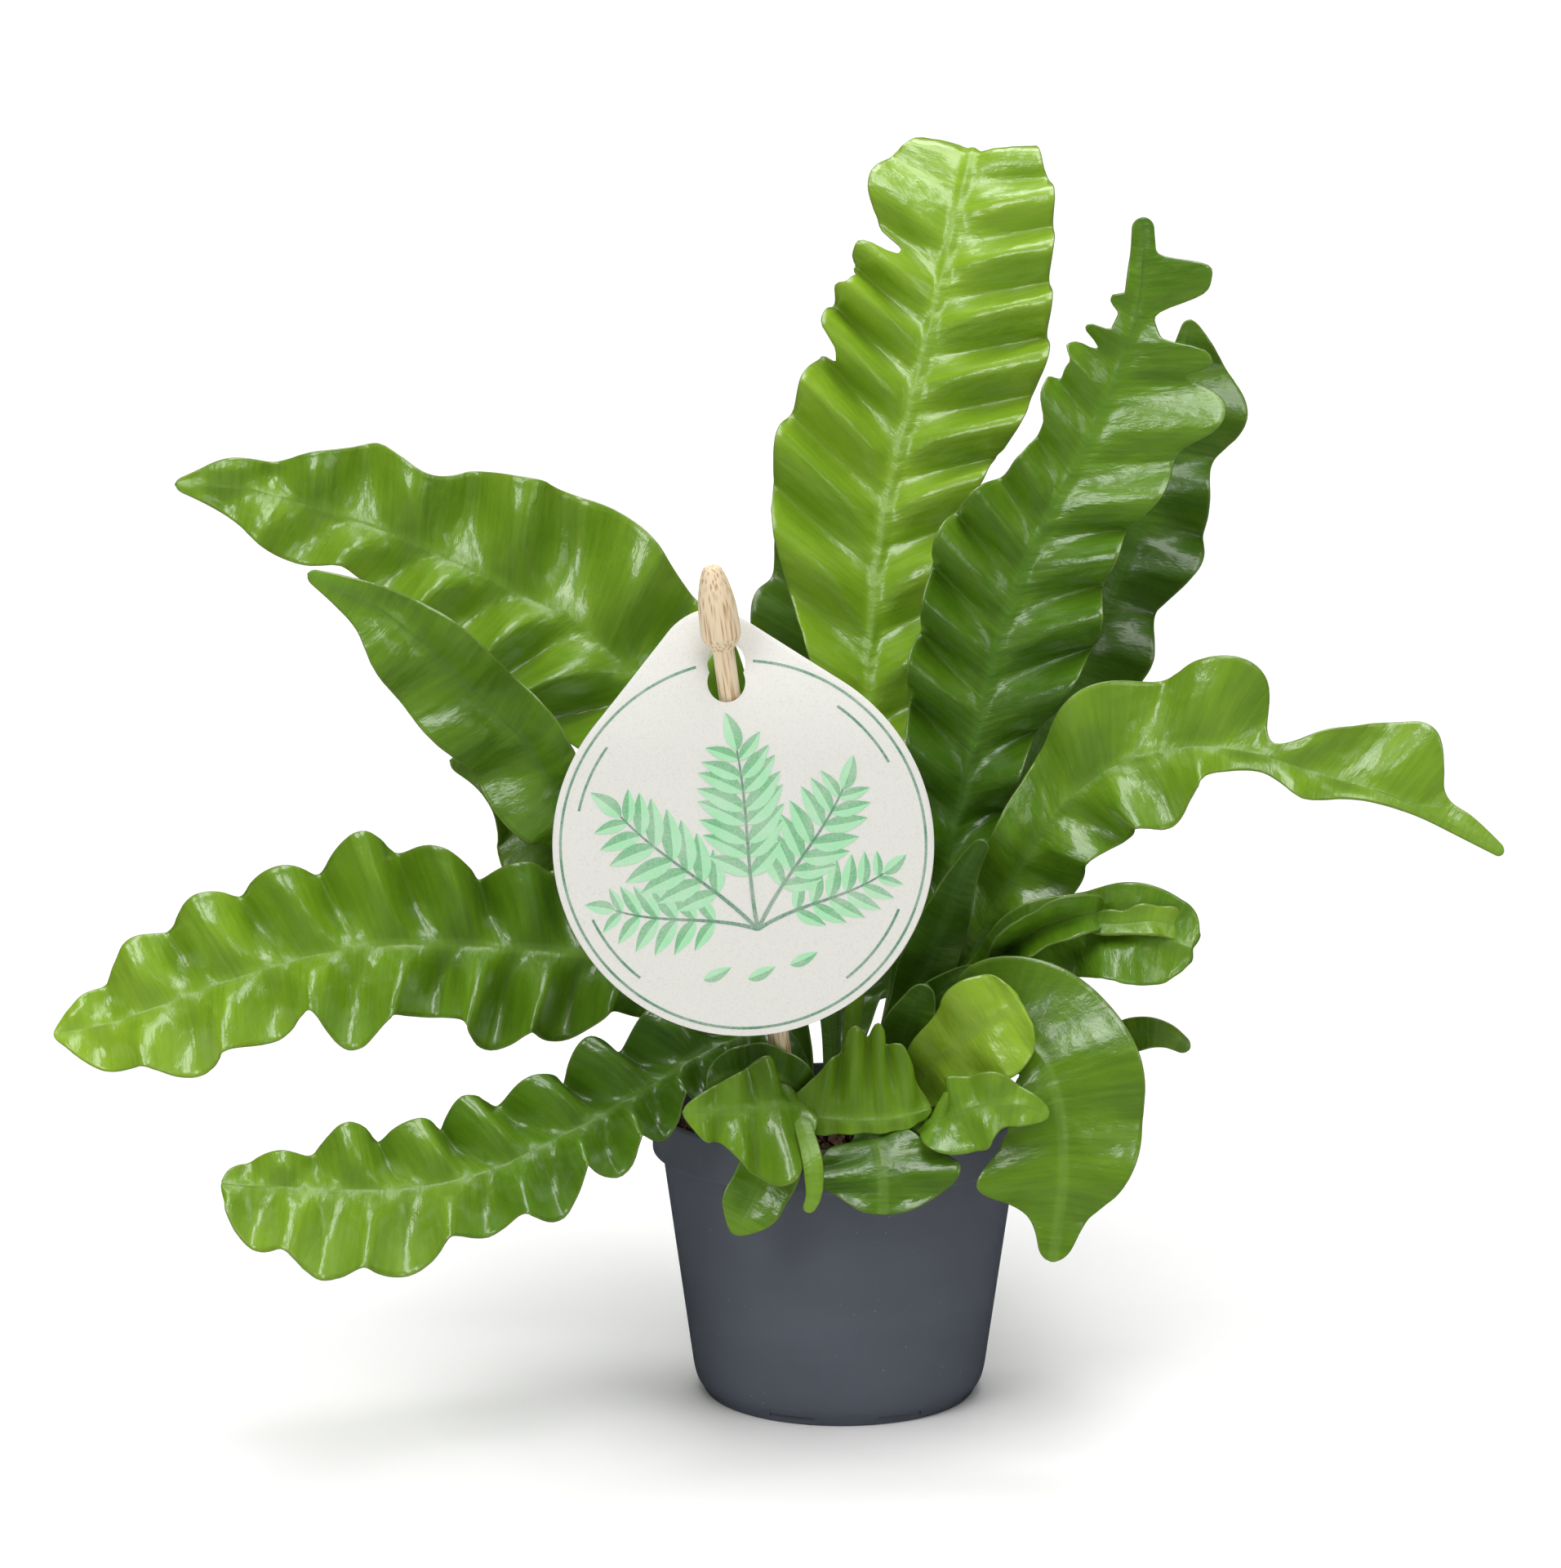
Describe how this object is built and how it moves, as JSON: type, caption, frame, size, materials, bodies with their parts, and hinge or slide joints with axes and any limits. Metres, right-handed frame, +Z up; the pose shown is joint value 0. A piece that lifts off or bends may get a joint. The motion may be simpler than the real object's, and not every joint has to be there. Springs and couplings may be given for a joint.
{
  "type": "potted bird's nest fern",
  "caption": "Bird's nest fern with glossy ruffled fronds in a tapered grey nursery pot, with a blank-style hang card held by a bamboo pin.",
  "frame": {"origin": "Middle of the pot's underside, on the surface it stands on.", "axes": "+Z up along the pot's axis, +X to the right and -Y towards the camera in the front view, which is the side that the hang card faces."},
  "size_m": [0.4461, 0.2929, 0.3989],
  "materials": {
    "leaf_bright": "glossy leaf",
    "leaf_green": "glossy leaf",
    "leaf_deep": "glossy leaf",
    "leaf_olive": "satin leaf",
    "pot_plastic": "satin",
    "potting_mix": "crumbly, matt",
    "crown_scales": "scaly, matt",
    "bamboo": "bare bamboo",
    "card": "coated card"
  },
  "bodies": {
    "root": {"frond_tall": "leaf_bright", "frond_crested": "leaf_deep", "frond_back_right": "leaf_olive", "frond_upper_left": "leaf_green", "frond_curled": "leaf_deep", "frond_short_left": "leaf_olive", "frond_long_left": "leaf_bright", "frond_low_left": "leaf_green", "frond_right": "leaf_green", "frond_drooping": "leaf_bright", "frond_rolled": "leaf_green", "frond_small_right": "leaf_olive", "frond_front_fan": "leaf_bright", "frond_front_right": "leaf_green", "frond_front_lower": "leaf_bright", "frond_front_left": "leaf_bright", "frond_front_cup": "leaf_green", "frond_inner_tall": "leaf_deep", "frond_inner_low": "leaf_deep", "frond_inner_oval": "leaf_deep", "frond_back_tall": "leaf_olive", "frond_back_side": "leaf_deep", "frond_back_left": "leaf_olive", "frond_back_low": "leaf_green", "pot": "pot_plastic", "soil": "potting_mix", "crown": "crown_scales", "bamboo_pin": "bamboo", "hang_card": "card"}
  },
  "joints": []
}
